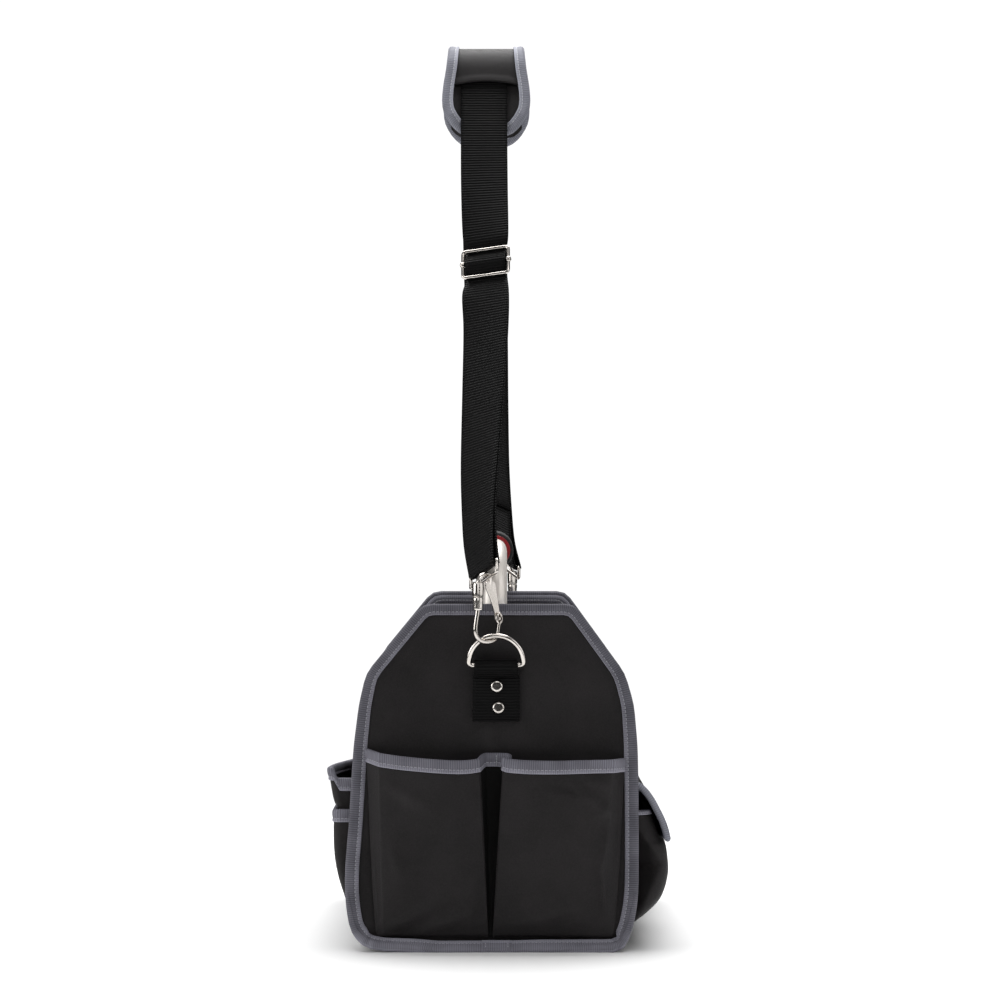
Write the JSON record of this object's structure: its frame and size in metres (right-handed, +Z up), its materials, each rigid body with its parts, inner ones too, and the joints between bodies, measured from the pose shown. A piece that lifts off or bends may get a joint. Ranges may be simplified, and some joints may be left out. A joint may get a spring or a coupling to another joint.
{
  "type": "tool bag",
  "caption": "Open-top cloth tool bag with taped seams, end and side pockets, a tube handle with a grip, and a hooked-on webbing shoulder strap with a padded rest.",
  "frame": {"origin": "middle of the base's underside, on the floor", "axes": "+Z up, -Y towards the end that the picture shows, +X to that end's right"},
  "size_m": [0.2665, 0.449, 0.7233],
  "materials": {
    "body_cloth": "coated black polyester, fine weave",
    "edge_tape": "grey grosgrain binding tape",
    "webbing": "black ribbed webbing",
    "pad_cloth": "black polyester over foam",
    "nickel": "bright nickel plate",
    "tube_metal": "satin tube",
    "grip_red": "red foam rubber core",
    "grip_dark": "dark rubber skin"
  },
  "bodies": {
    "bag": {"base_panel": "body_cloth", "side_panel_left": "body_cloth", "side_panel_right": "body_cloth", "end_panel_near": "body_cloth", "end_panel_far": "body_cloth", "end_pocket_near": "body_cloth", "end_pocket_far": "body_cloth", "left_upper_pocket": "body_cloth", "left_lower_pocket": "body_cloth", "right_pouch": "body_cloth", "right_flap": "body_cloth", "side_tape_left": "edge_tape", "side_tape_right": "edge_tape", "end_tape_near": "edge_tape", "end_tape_far": "edge_tape", "end_pocket_tape_near": "edge_tape", "end_pocket_tape_far": "edge_tape", "left_upper_pocket_tape": "edge_tape", "left_lower_pocket_tape": "edge_tape", "right_pouch_tape": "edge_tape", "right_flap_tape": "edge_tape", "pad_tape": "edge_tape", "ring_tab_near": "webbing", "ring_tab_far": "webbing", "shoulder_strap": "webbing", "shoulder_pad": "pad_cloth", "pad_sleeve": "pad_cloth", "d_ring_near": "nickel", "d_ring_far": "nickel", "rivet_near_upper": "nickel", "rivet_near_lower": "nickel", "rivet_far_upper": "nickel", "rivet_far_lower": "nickel", "strap_loop_near": "nickel", "strap_loop_far": "nickel", "hook_near": "nickel", "hook_far": "nickel", "slider_frame": "nickel", "slider_bar": "nickel", "handle_tube": "tube_metal", "grip_core": "grip_red", "grip_cover": "grip_dark"},
    "gate_near": {"hook_gate_near": "nickel"},
    "gate_far": {"hook_gate_far": "nickel"}
  },
  "joints": [
    {"name": "gate_near_swing", "type": "hinge", "parent": "bag", "child": "gate_near", "pos_m": [0.00258, -0.20491, 0.257], "axis": [-0.6428, 0.766, 0], "range_deg": [0, 16], "stiffness_Nm_per_rad": 0.02},
    {"name": "gate_far_swing", "type": "hinge", "parent": "bag", "child": "gate_far", "pos_m": [-0.00258, 0.20491, 0.257], "axis": [0.6428, -0.766, 0], "range_deg": [0, 16], "stiffness_Nm_per_rad": 0.02}
  ]
}
